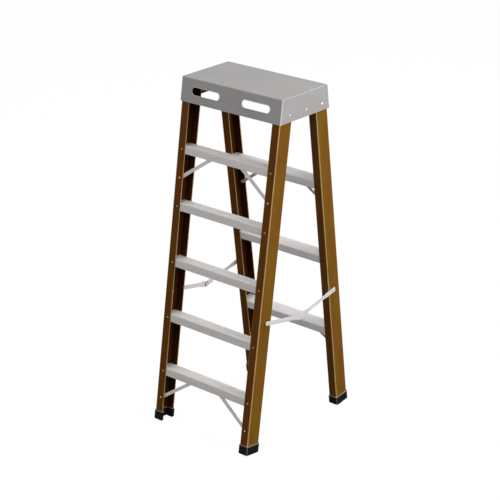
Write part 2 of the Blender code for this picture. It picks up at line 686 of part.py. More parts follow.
def build_knuckle_half(name, parent, parent_place, side, outer):
    """Half of the knuckle rivet: the outer half is domed, the inner half has a flat head."""
    low = link_plane(outer)
    if outer:
        head = low + LINK_SHEET + FIT_GAP
        profile = dome(PIN_HEAD, RIVET_DOME, head) + [(PIN_SHANK, head), (PIN_SHANK, low), (0, low)]
    else:
        head = low - FIT_GAP
        profile = [(0, low + LINK_SHEET), (PIN_SHANK, low + LINK_SHEET), (PIN_SHANK, head)]
        profile += [(PIN_HEAD, head), (PIN_HEAD, head - FLAT_HEAD_HEIGHT), (0, head - FLAT_HEAD_HEIGHT)]
    place = outward_place(side, KNUCKLE + Vector((side * HALF_SPAN, 0, 0)))
    add_part(name, turned(profile, 2 * SMALL_SIDES), BRIGHT_STEEL, parent, parent_place.inverted() @ place)


def outward_place(side, centre):
    """A frame at a side face, its Z pointing away from the ladder."""
    return Matrix.Translation(centre) @ Matrix.Rotation(side * math.radians(90), 4, "Y")


def build_spreaders(front_frame, rear_frame):
    """Front links turn on the front rails outside the rear links, which turn on the rear rails."""
    for name, side in SIDES:
        front = (front_frame, FRONT_PLACE, side)
        rear = (rear_frame, REAR_PLACE, side)
        build_link(f"spreader_front_link_{name}", *front, FRONT_PIN, True)
        build_link(f"spreader_rear_link_{name}", *rear, REAR_PIN, False)
        build_rail_pin(f"spreader_front_pin_{name}", *front, FRONT_PIN, True)
        build_rail_pin(f"spreader_rear_pin_{name}", *rear, REAR_PIN, False)
        build_knuckle_half(f"knuckle_rivet_outer_{name}", *front, True)
        build_knuckle_half(f"knuckle_rivet_inner_{name}", *rear, False)


# ---------------------------------------------------------------- fasteners

def rivet_profile(shank, head, tail, grip):
    """A domed head, a shank through the grip below Z = 0, and a flat tail."""
    low = -grip - FIT_GAP
    profile = dome(head, RIVET_DOME, FIT_GAP)
    profile += [(shank, FIT_GAP), (shank, low), (tail, low)]
    profile += [(tail, low - TAIL_HEIGHT), (0, low - TAIL_HEIGHT)]
    return profile


def brace_rivet_profile():
    """A domed rivet with a collar that fills the space between the flange and a brace."""
    flange = -RAIL_WALL - FIT_GAP
    collar = [(RIVET_SHANK, flange), (COLLAR, flange), (COLLAR, -BRACE_SEAT + FIT_GAP)]
    collar += [(RIVET_SHANK, -BRACE_SEAT + FIT_GAP)]
    plain = rivet_profile(RIVET_SHANK, RIVET_HEAD, RIVET_TAIL, BRACE_SEAT + BRACE_SHEET)
    shank_top = CORNER_STEPS + 2
    return plain[:shank_top] + collar + plain[shank_top:]


def build_flange_rivets(frame):
    """Domed rivets in the front flanges, through the steps' skirts and the braces."""
    tops = step_rises(FIRST_STEP, STEP_PITCH, STEP_COUNT)
    plain = rivet_profile(RIVET_SHANK, RIVET_HEAD, RIVET_TAIL, BRACE_SEAT - FIT_GAP)
    rows = [(f"step_rivet_{i + 1}", rivet_rise(top), plain) for i, top in enumerate(tops)]
    levels = zip(("lower", "upper"), braced(tops))
    rows += [(f"brace_rivet_{level}", rise, brace_rivet_profile()) for level, rise in levels]
    for name, rise, profile in rows:
        for side_name, side in SIDES:
            place = Matrix.Translation((side * (HALF_SPAN - RIVET_INSET), 0, rise)) @ FACING_FRONT
            add_part(f"{name}_{side_name}", turned(profile, SMALL_SIDES), BRIGHT_STEEL, frame, place)


def build_cap_rivets():
    """Rivets and fold pins through the cap's sides, the brackets and the webs."""
    bracket = CAP_SHEET + CAP_SIDE_GAP - FIT_GAP
    web = CAP_SHEET + CAP_SIDE_GAP + RAIL_WALL
    names = ("cap_front_rivet", "cap_middle_rivet", "fold_pin")
    grips = (web, bracket, web)
    heads = ((CAP_RIVET_HEAD, RIVET_TAIL), (CAP_RIVET_HEAD, RIVET_TAIL), (PIN_HEAD, PIN_TAIL))
    face = HALF_SPAN + CAP_SIDE_GAP + CAP_SHEET
    for name, grip, (head, tail), (point, shank) in zip(names, grips, heads, cap_fixings()):
        for side_name, side in SIDES:
            place = outward_place(side, Vector((side * face, point.y, point.z)))
            body = turned(rivet_profile(shank, head, tail, grip), 2 * SMALL_SIDES)
            add_part(f"{name}_{side_name}", body, BRIGHT_STEEL, None, place)


# ---------------------------------------------------------------- assembly

def build():
    """The whole ladder."""
    clear_scene()
    front_frame = add_frame("front_frame", FRONT_PLACE)
    rear_frame = add_frame("rear_frame", REAR_PLACE)
    build_cap()
    build_brackets()
    build_front_rails(front_frame)
    build_rear_rails(rear_frame)
    build_front_steps(front_frame)
    build_rear_treads(rear_frame)
    build_all_shoes(front_frame, rear_frame)
    build_spreaders(front_frame, rear_frame)
    build_flange_rivets(front_frame)
    build_cap_rivets()


build()
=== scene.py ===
import json
import math
from functools import partial

import bpy
from mathutils import Matrix, Vector

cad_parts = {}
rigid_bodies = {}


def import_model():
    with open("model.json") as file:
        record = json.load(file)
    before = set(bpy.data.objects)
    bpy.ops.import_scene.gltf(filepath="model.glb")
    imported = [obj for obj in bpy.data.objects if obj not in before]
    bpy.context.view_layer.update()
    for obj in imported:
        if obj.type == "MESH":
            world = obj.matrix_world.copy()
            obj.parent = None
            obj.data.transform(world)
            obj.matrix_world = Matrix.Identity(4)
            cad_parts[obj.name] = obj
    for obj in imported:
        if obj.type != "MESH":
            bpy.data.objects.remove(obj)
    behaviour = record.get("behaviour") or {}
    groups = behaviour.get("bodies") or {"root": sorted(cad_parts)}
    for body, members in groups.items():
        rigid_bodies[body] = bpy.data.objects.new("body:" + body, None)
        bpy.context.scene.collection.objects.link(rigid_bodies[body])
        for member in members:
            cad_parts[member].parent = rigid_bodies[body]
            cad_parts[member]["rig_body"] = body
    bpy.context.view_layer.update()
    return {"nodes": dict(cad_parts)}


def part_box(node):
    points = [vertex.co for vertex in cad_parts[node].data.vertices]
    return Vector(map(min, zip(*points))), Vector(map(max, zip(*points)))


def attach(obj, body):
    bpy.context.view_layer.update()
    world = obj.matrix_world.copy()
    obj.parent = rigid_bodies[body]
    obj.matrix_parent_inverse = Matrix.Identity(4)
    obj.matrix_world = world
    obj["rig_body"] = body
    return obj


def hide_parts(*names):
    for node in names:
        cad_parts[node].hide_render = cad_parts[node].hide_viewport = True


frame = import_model()
nodes = frame["nodes"]

# ------------------------------------------------------------------ rails
# Four pultruded glass-fibre channels. Glass strands run up them under golden brown resin.
# A pale painted highlight lines the corners and sawn flange tips; the flanges and insides get painted shade.

SIDES = (("left", -1), ("right", 1))
FRONT_LEAN = math.radians(8.43)
REAR_LEAN = math.radians(7.52)
FRONT_RAIL_DEPTH = 0.0915
REAR_RAIL_DEPTH = 0.0890
RAIL_OUTSIDE = 0.3245
RAIL_WALL = 0.0045
FLANGE_WIDTH = 0.049

# Strands are drawn about twice as coarse as real roving, or they wouldn't show. The resin's
# patches and tints are a few centimetres across and three to six times as long.
STRANDS = (0.0022, 0.0022, 0.12)
PATCHES = (0.05, 0.05, 0.30)
TINTS = (0.07, 0.07, 0.22)
TINT_TURN = 0.7
STRAND_RELIEF = (0.2, 0.0004)
# The painted corner highlights are drawn a few millimetres wide, wider than life, or they wouldn't show.
CORNER_HIGHLIGHT = 0.0068
TIP_HIGHLIGHT = (0.0003, 0.0016)
WEB_SHADE_FADE = (0.0020, 0.0044)
FLANGE_SHADE_FADE = (0.0015, 0.0030)

DOUBLE_DISTANCE = 1e-5
FLAT_ANGLE = math.radians(1.5)
BROKEN_EDGE_ANGLE = math.radians(40)
SMOOTH_ANGLE = math.radians(32)
SAWN_EDGE = 0.0006

# Noise stays mostly within SPREAD, and marks start a little higher in it.
SPREAD = (0.3, 0.7)
MARKED = (0.35, 0.7)
SMOOTH = {"interpolation_type": "SMOOTHSTEP"}
COLOUR = {"data_type": "RGBA"}


def linear(hex_colour):
    """A linear colour from its sRGB hex value."""
    channels = [int(hex_colour[i:i + 2], 16) / 255 for i in (1, 3, 5)]
    return [c / 12.92 if c <= 0.04045 else ((c + 0.055) / 1.055) ** 2.4 for c in channels] + [1]


def add_node(tree, kind, *inputs, **settings):
    """Adds a node with its settings, fills its open inputs in order, and gives its first open output.

    An input is a value, a socket to link, or None, which leaves it as it is.
    """
    made = tree.nodes.new("ShaderNode" + kind)
    for name, value in settings.items():
        setattr(made, name, value)
    open_inputs = [socket for socket in made.inputs if socket.enabled]
    for socket, value in zip(open_inputs, inputs):
        if isinstance(value, bpy.types.NodeSocket):
            tree.links.new(value, socket)
        elif value is not None:
            socket.default_value = value
    return next(socket for socket in made.outputs if socket.enabled)


def new_material(name, roughness, metallic):
    """A material with only its shader, the function that adds nodes to it, and the shader."""
    material = bpy.data.materials.new(name)
    material.use_nodes = True
    shader = material.node_tree.nodes["Principled BSDF"]
    shader.inputs["Roughness"].default_value = roughness
    shader.inputs["Metallic"].default_value = metallic
    return material, partial(add_node, material.node_tree), shader


def feed(shader, sockets):
    """Links each socket to the shader's input of that name."""
    for name, socket in sockets.items():
        shader.id_data.links.new(socket, shader.inputs[name])


def stretched_noise(add, turn, spacing, detail=3.0):
    """Noise on the object's own metres, turned and then stretched by a spacing along each axis."""
    turned = add("Mapping", add("TexCoord").node.outputs["Object"], None, turn)
    scaled = add("Mapping", turned, None, None, [1 / s for s in spacing])
    return add("TexNoise", scaled, 1.0, detail, 0.6), turned


def corner_highlight_mask(add, place, half_width, front_face, depth, highlight_band):
    """A mask of the corners where two outer sides meet the front and rear faces, for a painted highlight,
    with |X| and Y.
    """
    parts = add("SeparateXYZ", place).node.outputs
    across = add("Math", parts["X"], operation="ABSOLUTE")
    near_side = add("MapRange", across, half_width - highlight_band, half_width - highlight_band / 8, **SMOOTH)
    near_front = add("MapRange", parts["Y"], front_face + highlight_band / 8, front_face + highlight_band, 1.0, 0.0, **SMOOTH)
    rear_face = front_face + depth
    near_rear = add("MapRange", parts["Y"], rear_face - highlight_band, rear_face - highlight_band / 8, **SMOOTH)
    near_face = add("Math", near_front, near_rear, operation="MAXIMUM")
    return add("Math", near_side, near_face, operation="MULTIPLY"), across, parts["Y"]


def channel_shade_masks(add, across, along, front_face, depth):
    """Masks for painted shade: one of all but a channel's outer web, and one of the faces inside the
    channel.
    """
    thin, thick = WEB_SHADE_FADE
    off_web = add("MapRange", across, RAIL_OUTSIDE - thin, RAIL_OUTSIDE - thick, **SMOOTH)
    thin, thick = FLANGE_SHADE_FADE
    rear_face = front_face + depth
    past_front = add("MapRange", along, front_face + thin, front_face + thick, **SMOOTH)
    before_rear = add("MapRange", along, rear_face - thick, rear_face - thin, 1.0, 0.0, **SMOOTH)
    between = add("Math", past_front, before_rear, operation="MULTIPLY")
    return off_web, add("Math", off_web, between, operation="MULTIPLY")


def fibreglass(name, lean, front_face, depth):
    """Pultruded polyester and glass: dielectric and satin, its strands run along the rail."""
    material, add, shader = new_material(name, 0.45, 0.0)
    shader.inputs["Specular IOR Level"].default_value = 0.15
    strands, place = stretched_noise(add, (lean, 0, 0), STRANDS)
    patches, _ = stretched_noise(add, (lean, 0, 0), PATCHES, 2.0)
    tint, _ = stretched_noise(add, (lean, 0, TINT_TURN), TINTS, 1.0)
    corner, across, along = corner_highlight_mask(add, place, RAIL_OUTSIDE, front_face, depth, CORNER_HIGHLIGHT)
    tip_start, tip_end = [RAIL_OUTSIDE - FLANGE_WIDTH + reach for reach in TIP_HIGHLIGHT]
    tip = add("MapRange", across, tip_start, tip_end, 1.0, 0.0, **SMOOTH)
    painted_highlight = add("Math", corner, tip, operation="MAXIMUM")
    ragged = add("MapRange", strands, 0.25, 0.6, 0.6, 1.0, **SMOOTH)
    patchy_mask = add("Math", painted_highlight, ragged, operation="MULTIPLY")
    off_web, inside = channel_shade_masks(add, across, along, front_face, depth)

    redder = add("MapRange", tint, 0.4, 0.6, **SMOOTH)
    resin = add("Mix", redder, linear("#7C4E14"), linear("#79580E"), **COLOUR)
    glass = add("MapRange", strands, 0.35, 0.65, 0.0, 0.35, **SMOOTH)
    resin = add("Mix", glass, resin, linear("#8E6422"), **COLOUR)
    darker = add("MapRange", patches, *MARKED, 0.0, 0.3, **SMOOTH)
    resin = add("Mix", darker, resin, linear("#67400A"), **COLOUR)
    # Everything off the outer web is multiplied darker by #DEC4A0: painted shade on the flanges.
    resin = add("Mix", off_web, resin, linear("#DEC4A0"), blend_type="MULTIPLY", **COLOUR)
    # The faces inside the channel are multiplied darker again by #A89274: painted shade.
    resin = add("Mix", inside, resin, linear("#A89274"), blend_type="MULTIPLY", **COLOUR)
    # The pale #CCAC7C band on the corners and flange tips is a painted highlight.
    feed(shader, {"Base Color": add("Mix", patchy_mask, resin, linear("#CCAC7C"), **COLOUR),
                  "Roughness": add("MapRange", patches, *SPREAD, 0.4, 0.52, **SMOOTH),
                  "Normal": add("Bump", *STRAND_RELIEF, None, strands)})
    return material


def only(piece):
    """Makes one piece the selected and active one."""
    bpy.ops.object.select_all(action="DESELECT")
    piece.select_set(True)
    bpy.context.view_layer.objects.active = piece


def apply_modifier(piece, kind, **settings):
    """Adds a modifier to the active piece and applies it."""
    modifier = piece.modifiers.new(kind.lower(), kind)
    for name, value in settings.items():
        setattr(modifier, name, value)
    bpy.ops.object.modifier_apply(modifier=modifier.name)


def dressed(node, material, edge):
    """A copy of a CAD node with its facets merged and its sharp edges broken, which stands for the node."""
    piece = nodes[node].copy()
    piece.data = nodes[node].data.copy()
    piece.name = f"{node}_piece"
    for key in list(piece.keys()):
        del piece[key]
    piece.parent = None
    bpy.context.scene.collection.objects.link(piece)
    only(piece)
    piece.data.materials.clear()
    piece.data.materials.append(material)
    bpy.ops.object.mode_set(mode="EDIT")
    bpy.ops.mesh.select_all(action="SELECT")
    bpy.ops.mesh.remove_doubles(threshold=DOUBLE_DISTANCE)
    bpy.ops.mesh.dissolve_limited(angle_limit=FLAT_ANGLE)
    bpy.ops.object.mode_set(mode="OBJECT")
    if edge:
        apply_modifier(piece, "BEVEL", width=edge, segments=2, limit_method="ANGLE",
                       angle_limit=BROKEN_EDGE_ANGLE, use_clamp_overlap=True)
    bpy.ops.object.shade_smooth_by_angle(angle=SMOOTH_ANGLE)
    apply_modifier(piece, "WEIGHTED_NORMAL", weight=100, keep_sharp=True)
    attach(piece, nodes[node]["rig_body"])
    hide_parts(node)
    return piece


def foremost(node, lean):
    """The place of a node's front face, in coordinates turned upright by its lean."""
    return min(v.co.y * math.cos(lean) - v.co.z * math.sin(lean) for v in nodes[node].data.vertices)


front_fibreglass = fibreglass("pultruded fibreglass, front", FRONT_LEAN,
                              foremost("front_rail_left", FRONT_LEAN), FRONT_RAIL_DEPTH)
rear_fibreglass = fibreglass("pultruded fibreglass, rear", -REAR_LEAN,
                             foremost("rear_rail_left", -REAR_LEAN), REAR_RAIL_DEPTH)
for side, _ in SIDES:
    dressed(f"front_rail_{side}", front_fibreglass, SAWN_EDGE)
    dressed(f"rear_rail_{side}", rear_fibreglass, SAWN_EDGE)

# ------------------------------------------------------------------ steps and treads
# Extruded aluminium channels, grooved on top against slipping. Mill finish:
# the die leaves fine lines along each one, and the cut edges are deburred.

# Die lines are drawn several times coarser than real ones, or they wouldn't show.
DIE_LINES = (0.25, 0.0007, 0.0007)
OXIDE_CLOUDS = (0.09, 0.03, 0.03)
DIE_RELIEF = (0.2, 0.0002)
DEBURRED_EDGE = 0.0003


def extruded_aluminium(name, dark, light, roughness, metallic):
    """Mill finish: a dull oxide skin over metal, whose die lines along X spread the highlights."""
    material, add, shader = new_material(name, roughness, metallic)
    lines, _ = stretched_noise(add, (0, 0, 0), DIE_LINES)
    clouds, _ = stretched_noise(add, (0, 0, 0), OXIDE_CLOUDS, 2.0)
    streaks = add("MapRange", lines, *SPREAD, **SMOOTH)
    skin = add("Mix", streaks, linear(dark), linear(light), **COLOUR)
    dull = add("MapRange", clouds, 0.4, 0.75, 0.0, 0.25, **SMOOTH)
    rough = add("MapRange", clouds, *SPREAD, roughness - 0.06, roughness + 0.08, **SMOOTH)
    feed(shader, {"Base Color": add("Mix", dull, skin, linear(dark), **COLOUR),
                  "Roughness": rough,
                  "Normal": add("Bump", *DIE_RELIEF, None, lines)})
    return material


# The treads take a paler, duller and less metallic copy of the steps' aluminium: painted light, so they look
# more brightly lit.
step_aluminium = extruded_aluminium("mill-finish aluminium, steps", "#E9E4E1", "#F9F6F4", 0.45, 0.2)
paler_tread_aluminium = extruded_aluminium("mill-finish aluminium, treads painted paler", "#F4F1F0", "#FDFBFA", 0.55, 0.0)
for kind, count, finish in (("front_step", 5, step_aluminium), ("rear_tread", 3, paler_tread_aluminium)):
    for i in range(count):
        dressed(f"{kind}_{i + 1}", finish, DEBURRED_EDGE)

# ------------------------------------------------------------------ knee braces
# Strips of aluminium pressed with two rims, flat at both ends, riveted behind
# the flanges and inside the skirts of the lowest and highest step of each frame.

# Scuffs and the sheet's grain are drawn about 1 mm wide, coarser than real ones, or they wouldn't show.
SCUFFS = (0.012, 0.0012, 0.012)
SCUFF_TURN = (0.3, 0.2, 0.5)
PRESS_GRAIN = (0.001, 0.001, 0.001)
PRESS_RELIEF = (0.12, 0.0002)
KNUCKLE_SHADE_RADII = (0.0115, 0.0145)
PRESSED_EDGE = 0.0004


def painted_knuckle_shade(add, pivot):
    """A mask of the disc about a pivot, given by its Y and Z, where painted shade falls between the
    overlapping links.
    """
    place = add("TexCoord").node.outputs["Object"]
    flat = add("VectorMath", place, (0, 1, 1), operation="MULTIPLY")
    away = add("VectorMath", flat, (0, *pivot), operation="DISTANCE")
    return add("MapRange", away, *KNUCKLE_SHADE_RADII, 0.85, 0.0, **SMOOTH)


def pressed_aluminium(name, dark, light, roughness, metallic, pivot=None):
    """Sheet aluminium out of a press: oxide dulls it, scuffs cross it, and given a pivot it has a disc of
    painted shade about it.
    """
    material, add, shader = new_material(name, roughness, metallic)
    scuffs, _ = stretched_noise(add, SCUFF_TURN, SCUFFS, 4.0)
    grain, _ = stretched_noise(add, (0, 0, 0), PRESS_GRAIN, 2.0)
    patchy_mask = add("MapRange", scuffs, *MARKED, **SMOOTH)
    skin = add("Mix", patchy_mask, linear(light), linear(dark), **COLOUR)
    if pivot:
        # The #4E4A48 disc about the pivot is painted shade where the links overlap.
        skin = add("Mix", painted_knuckle_shade(add, pivot), skin, linear("#4E4A48"), **COLOUR)
    rough = add("MapRange", scuffs, *SPREAD, roughness - 0.05, roughness + 0.1, **SMOOTH)
    feed(shader, {"Base Color": skin,
                  "Roughness": rough,
                  "Normal": add("Bump", *PRESS_RELIEF, None, grain)})
    return material


brace_aluminium = pressed_aluminium("pressed aluminium strip", "#E8E3E1", "#FAF6F4", 0.42, 0.08)
for frame_name in ("front", "rear"):
    for level in ("lower", "upper"):
        for side, _ in SIDES:
            dressed(f"{frame_name}_brace_{level}_{side}", brace_aluminium, PRESSED_EDGE)

# ------------------------------------------------------------------ rivets
# Solid steel rivets with a domed factory head outside and a flatter head that
# was hammered up inside. They hold the steps, treads and braces to the rails.
# Those in the flanges are drawn a browner steel, and the rear frame's front ones dark as painted shade.

RIVET_DOME = ((0.0048, 0.0), (0.0048, 0.0003), (0.0045, 0.0009), (0.0038, 0.0015), (0.0028, 0.0020),
              (0.0015, 0.0023), (0.0005, 0.0024))
RIVET_RISE = RIVET_DOME[-1][1]
RIVET_TAIL = ((0.0043, 0.0002), (0.0046, 0.0010), (0.0041, 0.0019), (0.0020, 0.0021))
RIVET_SHANK = 0.0025
RIVET_INSET = 0.0283
RIVET_SIDES = 24
RIVET_SMOOTH_ANGLE = math.radians(40)
# The hammer's marks are drawn about 1 mm wide, coarser than real ones, or they wouldn't show.
RIVET_MARKS = (0.0011, 0.0011, 0.0011)
RIVET_RELIEF = (0.15, 0.0002)
GAP = 0.0003
STEP_SHEET = 0.0022
STEP_SKIRT = 0.043
BRACE_SHEET = 0.002
BRACE_RUN = 0.2150


def rivet_steel(name, light, dark, metallic):
    """Plated steel: metal under a soft skin, marked by the rivet set that formed the head."""
    material, add, shader = new_material(name, 0.3, metallic)
    marks, _ = stretched_noise(add, (0, 0, 0), RIVET_MARKS, 3.0)
    marked = add("MapRange", marks, *MARKED, **SMOOTH)
    feed(shader, {"Base Color": add("Mix", marked, linear(light), linear(dark), **COLOUR),
                  "Roughness": add("MapRange", marks, *SPREAD, 0.26, 0.4, **SMOOTH),
                  "Normal": add("Bump", *RIVET_RELIEF, None, marks)})
    return material


def turned_piece(name, rings, material):
    """A solid of revolution about Z, drawn out ring by ring from a disc."""
    bpy.ops.object.select_all(action="DESELECT")
    first_radius, first_height = rings[0]
    bpy.ops.mesh.primitive_circle_add(vertices=RIVET_SIDES, radius=first_radius, fill_type="NGON",
                                      location=(0, 0, first_height))
    piece = bpy.context.object
    piece.name = name
    bpy.ops.object.transform_apply(location=True, rotation=True, scale=True)
    bpy.ops.object.mode_set(mode="EDIT")
    bpy.ops.mesh.select_all(action="SELECT")
    for (radius, height), (next_radius, next_height) in zip(rings, rings[1:]):
        bpy.ops.mesh.extrude_region_move(TRANSFORM_OT_translate={"value": (0, 0, next_height - height)})
        grow = next_radius / radius
        bpy.ops.transform.resize(value=(grow, grow, 1), center_override=(0, 0, next_height))
    bpy.ops.mesh.select_all(action="SELECT")
    bpy.ops.mesh.normals_make_consistent(inside=False)
    bpy.ops.object.mode_set(mode="OBJECT")
    piece.data.materials.append(material)
    bpy.ops.object.shade_smooth_by_angle(angle=RIVET_SMOOTH_ANGLE)
    return piece


def rivet_rings(grip):
    """Rings of a rivet from the middle of its tail to the middle of its dome, its head's seat at Z = 0."""
    tail = [(radius, -grip - GAP - height) for radius, height in reversed(RIVET_TAIL)]
    return tail + [(RIVET_SHANK, -grip - GAP), (RIVET_SHANK, 0)] + list(RIVET_DOME)


def set_copy(pattern, name, place, body, *stands_for):
    """A copy of a finished piece with its own mesh, moved to its place."""
    piece = pattern.copy()
    piece.data = pattern.data.copy()
    piece.data.transform(place)
    piece.name = name
    bpy.context.scene.collection.objects.link(piece)
    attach(piece, body)
    if stands_for:
        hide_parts(*stands_for)
    return piece


rivet_metal = rivet_steel("zinc-plated rivet steel", "#FBF3E2", "#EADFCA", 0.2)
# The flange rivets are drawn in a browner steel.
brownish_rivet_metal = rivet_steel("brownish rivet steel", "#E2CFA6", "#A58E62", 0.45)
# The rear frame's front rivets are drawn dark: painted shade.
shaded_rivet_metal = rivet_steel("rivet steel, painted shade", "#4A3826", "#33261A", 0.5)
flange_grip = RAIL_WALL + GAP + STEP_SHEET
flange_rivet = turned_piece("flange_rivet", rivet_rings(flange_grip), brownish_rivet_metal)
shaded_rivet = turned_piece("shaded_rivet", rivet_rings(flange_grip), shaded_rivet_metal)
skirt_rivet = turned_piece("skirt_rivet", rivet_rings(STEP_SHEET + GAP + BRACE_SHEET), rivet_metal)


def facing(lean, forwards):
    """Turns +Z to a leaning rail's front, or to its rear."""
    lean_turn = Matrix.Rotation(-lean, 4, "X")
    return lean_turn @ Matrix.Rotation(math.radians(90 if forwards else -90), 4, "X")


def leaning(lean):
    """The directions up and back along a leaning frame."""
    turn = Matrix.Rotation(-lean, 3, "X")
    return turn @ Vector((0, 0, 1)), turn @ Vector((0, 1, 0))


def head_seat(node, lean):
    """The middle of a flange rivet's head where it meets the flange, from the CAD rivet's own box."""
    low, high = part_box(node)
    middle = (low + high) / 2
    _, back = leaning(lean)
    foremost_point = min(v.co.dot(back) for v in nodes[node].data.vertices)
    return middle + back * (foremost_point + RIVET_RISE - middle.dot(back))


def skirt_middle(node, lean):
    """The middle of a step's rivet line: half-way along it, across it and down its skirt."""
    up, back = leaning(lean)
    points = [v.co for v in nodes[node].data.vertices]
    top = max(p.dot(up) for p in points)
    spread = [p.dot(back) for p in points]
    return up * (top - STEP_SKIRT / 2) + back * (min(spread) + max(spread)) / 2, back


_, front_back = leaning(FRONT_LEAN)
for side, _ in SIDES:
    for i in range(5):
        cad = f"step_rivet_{i + 1}_{side}"
        seat = head_seat(cad, FRONT_LEAN)
        set_copy(flange_rivet, f"{cad}_piece",
                 Matrix.Translation(seat) @ facing(FRONT_LEAN, True), "front_frame", cad)
        rear_seat = seat + front_back * FRONT_RAIL_DEPTH
        set_copy(flange_rivet, f"step_rear_rivet_{i + 1}_{side}",
                 Matrix.Translation(rear_seat) @ facing(FRONT_LEAN, False), "front_frame")
    for level in ("lower", "upper"):
        dressed(f"brace_rivet_{level}_{side}", rivet_metal, 0)

for i in range(3):
    middle, back = skirt_middle(f"rear_tread_{i + 1}", -REAR_LEAN)
    for side, sign in SIDES:
        out = Vector((sign * (RAIL_OUTSIDE - RIVET_INSET), 0, 0))
        for word, way, pattern in (("front", -1, shaded_rivet), ("rear", 1, flange_rivet)):
            seat = middle + out + back * way * REAR_RAIL_DEPTH / 2
            set_copy(pattern, f"tread_{word}_rivet_{i + 1}_{side}",
                     Matrix.Translation(seat) @ facing(-REAR_LEAN, way < 0), "rear_frame")

for step, lean, depth, way, body in (("front_step_1", FRONT_LEAN, FRONT_RAIL_DEPTH, -1, "front_frame"),
                                     ("front_step_5", FRONT_LEAN, FRONT_RAIL_DEPTH, -1, "front_frame"),
                                     ("rear_tread_1", -REAR_LEAN, REAR_RAIL_DEPTH, 1, "rear_frame"),
                                     ("rear_tread_3", -REAR_LEAN, REAR_RAIL_DEPTH, 1, "rear_frame")):
    middle, back = skirt_middle(step, lean)
    skirt = depth / 2 - RAIL_WALL - GAP
    for side, sign in SIDES:
        out = Vector((sign * (RAIL_OUTSIDE - RIVET_INSET - BRACE_RUN), 0, 0))
        set_copy(skirt_rivet, f"{step}_brace_rivet_{side}",
                 Matrix.Translation(middle + out + back * way * skirt) @ facing(lean, way < 0), body)

for pattern in (flange_rivet, shaded_rivet, skirt_rivet):
    bpy.data.objects.remove(pattern)

# ------------------------------------------------------------------ shoes
# Moulded rubber boots, pushed over the rail ends and gripping both walls of
# each channel. Matt black, with a pale painted highlight along the rim and the upright corners.

SHOE_WALL = 0.005
SHOE_EDGE = 0.0012
RIM_HIGHLIGHT = 0.0035
# The mould's grain is drawn coarser than life, or it wouldn't show. The mottle is workshop dust.
RUBBER_MOTTLE = (0.006, 0.006, 0.006)
RUBBER_GRAIN = (0.0009, 0.0009, 0.0009)
RUBBER_RELIEF = (0.3, 0.0004)


def moulded_rubber(name, shoe, lean, rail_depth):
    """Black rubber: dielectric and matt. Its painted highlight on the rim and corners is drawn wider than
    life, or it wouldn't show.
    """
    material, add, shader = new_material(name, 0.6, 0.0)
    shader.inputs["Specular IOR Level"].default_value = 0.3
    mottle, place = stretched_noise(add, (lean, 0, 0), RUBBER_MOTTLE, 4.0)
    grain, _ = stretched_noise(add, (0, 0, 0), RUBBER_GRAIN, 2.0)
    corner, _, _ = corner_highlight_mask(add, place, RAIL_OUTSIDE + SHOE_WALL, foremost(shoe, lean),
                               rail_depth + 2 * SHOE_WALL, 2 * RIM_HIGHLIGHT)
    top = max(v.co.y * math.sin(lean) + v.co.z * math.cos(lean) for v in nodes[shoe].data.vertices)
    height = add("SeparateXYZ", place).node.outputs["Z"]
    rim = add("MapRange", height, top - RIM_HIGHLIGHT, top - RIM_HIGHLIGHT / 4, **SMOOTH)
    painted_highlight = add("Math", rim, add("Math", corner, 0.6, operation="MULTIPLY"), operation="MAXIMUM")
    ragged = add("MapRange", mottle, 0.2, 0.5, 0.5, 0.9, **SMOOTH)
    painted_highlight = add("Math", painted_highlight, ragged, operation="MULTIPLY")
    bloom = add("MapRange", mottle, 0.45, 0.75, **SMOOTH)
    black = add("Mix", bloom, linear("#0E0C0E"), linear("#1C1A1C"), **COLOUR)
    # The #A59A92 grey on the rim and upright corners is a painted highlight.
    feed(shader, {"Base Color": add("Mix", painted_highlight, black, linear("#A59A92"), **COLOUR),
                  "Roughness": add("MapRange", mottle, *SPREAD, 0.5, 0.72, **SMOOTH),
                  "Normal": add("Bump", *RUBBER_RELIEF, None, grain)})
    return material


for frame_name, lean, depth in (("front", FRONT_LEAN, FRONT_RAIL_DEPTH),
                                ("rear", -REAR_LEAN, REAR_RAIL_DEPTH)):
    shoe_rubber = moulded_rubber(f"moulded black rubber, {frame_name}", f"{frame_name}_shoe_left",
                                 lean, depth)
    for side, _ in SIDES:
        dressed(f"{frame_name}_shoe_{side}", shoe_rubber, SHOE_EDGE)

# ------------------------------------------------------------------ cap
# One sheet of aluminium, cut, folded down on four sides and coated light grey.
# The two hand slots have rolled lips, and plates inside it carry the fold pins.

FOLD_HIGHLIGHT = 0.005
# Only the front folds get the painted highlight, so the coat's rear face is put well behind the cap.
CAP_REACH = 1.0
# Sprayed powder levels into an orange peel of about 2 mm, over clouds as long as a hand.
COAT_CLOUDS = (0.16, 0.16, 0.16)
ORANGE_PEEL = (0.0022, 0.0022, 0.0022)
COAT_RELIEF = (0.12, 0.0003)
INSIDE_FADE = 0.01
FOLDED_EDGE = 0.0005
HEAD_EDGE = 0.0002
cap_low, cap_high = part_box("top_cap")
cap_front = foremost("top_cap", FRONT_LEAN)


